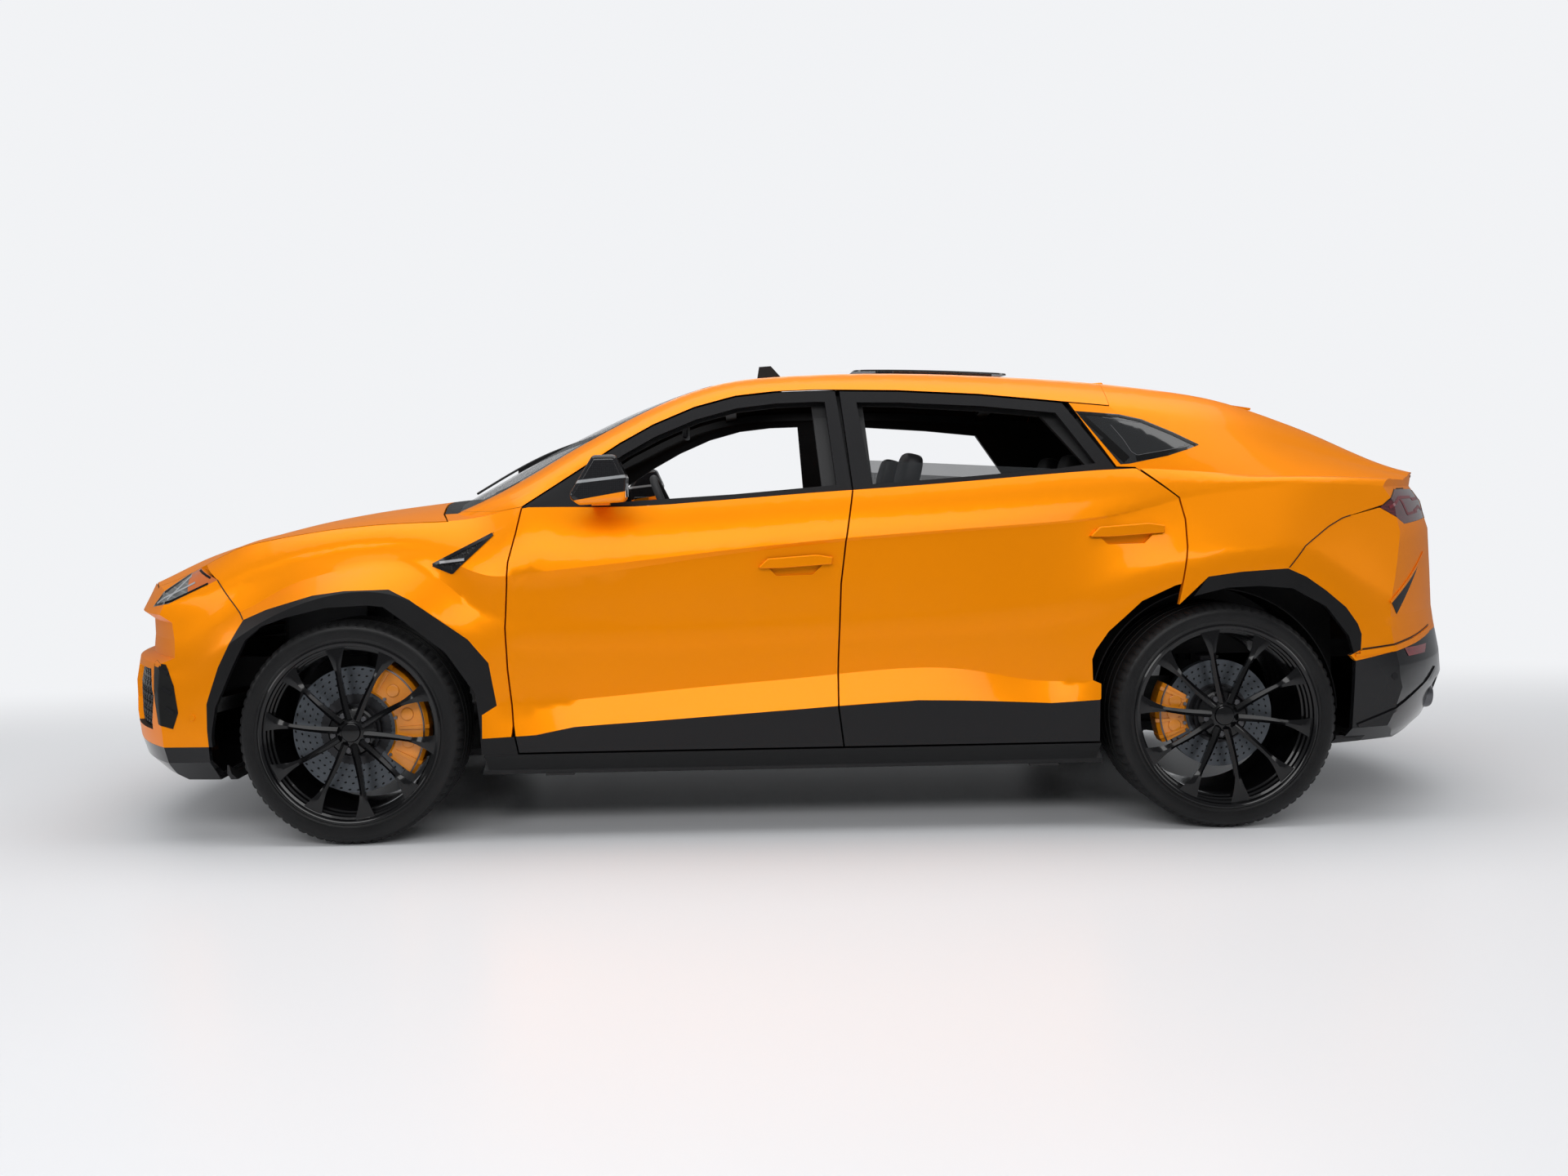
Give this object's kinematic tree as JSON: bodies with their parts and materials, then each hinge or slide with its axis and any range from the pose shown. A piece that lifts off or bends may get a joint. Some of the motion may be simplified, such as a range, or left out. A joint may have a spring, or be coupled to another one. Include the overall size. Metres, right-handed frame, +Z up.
{
  "type": "sport utility vehicle",
  "caption": "Fastback sport utility vehicle with hinged doors, bonnet and tailgate, steered front wheels and a hollow cabin.",
  "frame": {"origin": "on the ground under the middle of the car's box", "axes": "+X to the tail, +Y to the car's right side, +Z up"},
  "size_m": [5.1007, 2.174, 1.6797],
  "materials": {
    "paint": "bright orange pearl",
    "dark_trim": "satin black",
    "gloss_black": "gloss black",
    "glass": "tinted",
    "lamp": "clear lamp lens",
    "tail_lamp": "smoked red lens",
    "tyre": "black rubber",
    "wheel": "gloss black",
    "disc": "ground grey",
    "caliper": "orange",
    "structure": "dark primer",
    "running_gear": "black coated",
    "seat": "dark grey",
    "dash": "dark grey",
    "steel": "brushed"
  },
  "bodies": {
    "body": {"floor_pan": "structure", "body_frame": "structure", "body_side_left": "structure", "body_side_right": "structure", "front_fenders": "paint", "cowl_panel": "dark_trim", "front_bumper": "paint", "front_splitter": "dark_trim", "grilles": "dark_trim", "headlights": "lamp", "quarter_panels": "paint", "quarter_windows": "glass", "roof_panel": "paint", "windscreen": "glass", "sunroof_glass": "glass", "wind_deflector": "dark_trim", "rear_bumper": "paint", "rear_diffuser": "dark_trim", "tail_lights": "tail_lamp", "exhaust_tips": "steel", "body_cladding": "dark_trim", "front_suspension": "running_gear", "rear_suspension": "running_gear", "rear_calipers": "caliper", "front_seats": "seat", "rear_seat": "seat", "dashboard": "dash", "engine_block": "running_gear"},
    "bonnet": {"bonnet": "paint"},
    "tailgate": {"tailgate": "paint", "rear_window": "glass"},
    "steering_wheel": {"steering_wheel": "dash"},
    "front_door_left": {"front_door_left": "paint", "front_door_trim_left": "gloss_black", "door_mirror_left": "gloss_black"},
    "rear_door_left": {"rear_door_left": "paint", "rear_door_trim_left": "gloss_black", "rear_door_glass_left": "glass"},
    "front_knuckle_left": {"front_knuckle_left": "running_gear", "front_caliper_left": "caliper"},
    "front_wheel_left": {"front_tyre_left": "tyre", "front_wheel_left": "wheel", "front_brake_disc_left": "disc"},
    "rear_wheel_left": {"rear_tyre_left": "tyre", "rear_wheel_left": "wheel", "rear_brake_disc_left": "disc"},
    "front_door_right": {"front_door_right": "paint", "front_door_trim_right": "gloss_black", "door_mirror_right": "gloss_black"},
    "rear_door_right": {"rear_door_right": "paint", "rear_door_trim_right": "gloss_black", "rear_door_glass_right": "glass"},
    "front_knuckle_right": {"front_knuckle_right": "running_gear", "front_caliper_right": "caliper"},
    "front_wheel_right": {"front_tyre_right": "tyre", "front_wheel_right": "wheel", "front_brake_disc_right": "disc"},
    "rear_wheel_right": {"rear_tyre_right": "tyre", "rear_wheel_right": "wheel", "rear_brake_disc_right": "disc"}
  },
  "joints": [
    {"name": "steer_left", "type": "hinge", "parent": "body", "child": "front_knuckle_left", "pos_m": [-1.553, -0.745, 0.386], "axis": [0, 0, 1], "range_deg": [-35, 35]},
    {"name": "front_door_left_hinge", "type": "hinge", "parent": "body", "child": "front_door_left", "pos_m": [-0.992, -0.965, 0.7], "axis": [0, 0, -1], "range_deg": [0, 68]},
    {"name": "rear_door_left_hinge", "type": "hinge", "parent": "body", "child": "rear_door_left", "pos_m": [0.142, -0.965, 0.7], "axis": [0, 0, -1], "range_deg": [0, 68]},
    {"name": "front_wheel_left_spin", "type": "hinge", "parent": "front_knuckle_left", "child": "front_wheel_left", "pos_m": [-1.553, -0.8, 0.386], "axis": [0, 1, 0], "continuous": true},
    {"name": "rear_wheel_left_spin", "type": "hinge", "parent": "body", "child": "rear_wheel_left", "pos_m": [1.45, -0.8, 0.384], "axis": [0, 1, 0], "continuous": true},
    {"name": "front_door_right_hinge", "type": "hinge", "parent": "body", "child": "front_door_right", "pos_m": [-0.992, 0.965, 0.7], "axis": [0, 0, 1], "range_deg": [0, 68]},
    {"name": "rear_door_right_hinge", "type": "hinge", "parent": "body", "child": "rear_door_right", "pos_m": [0.142, 0.965, 0.7], "axis": [0, 0, 1], "range_deg": [0, 68]},
    {"name": "steer_right", "type": "hinge", "parent": "body", "child": "front_knuckle_right", "pos_m": [-1.553, 0.745, 0.386], "axis": [0, 0, 1], "range_deg": [-35, 35]},
    {"name": "front_wheel_right_spin", "type": "hinge", "parent": "front_knuckle_right", "child": "front_wheel_right", "pos_m": [-1.553, 0.8, 0.386], "axis": [0, 1, 0], "continuous": true},
    {"name": "rear_wheel_right_spin", "type": "hinge", "parent": "body", "child": "rear_wheel_right", "pos_m": [1.45, 0.8, 0.384], "axis": [0, 1, 0], "continuous": true},
    {"name": "bonnet_hinge", "type": "hinge", "parent": "body", "child": "bonnet", "pos_m": [-1.3, 0, 1.19], "axis": [0, 1, 0], "range_deg": [0, 42]},
    {"name": "tailgate_hinge", "type": "hinge", "parent": "body", "child": "tailgate", "pos_m": [1.54, 0, 1.532], "axis": [0, -1, 0], "range_deg": [0, 72]},
    {"name": "steering_wheel_turn", "type": "hinge", "parent": "body", "child": "steering_wheel", "pos_m": [-0.47, -0.385, 1.075], "axis": [0.9135, 0, 0.4067], "range_deg": [-460, 460]}
  ],
  "couplings": [
    {"joint": "steer_right", "follows": "steer_left", "ratio": 1},
    {"joint": "steering_wheel_turn", "follows": "steer_left", "ratio": 13}
  ]
}
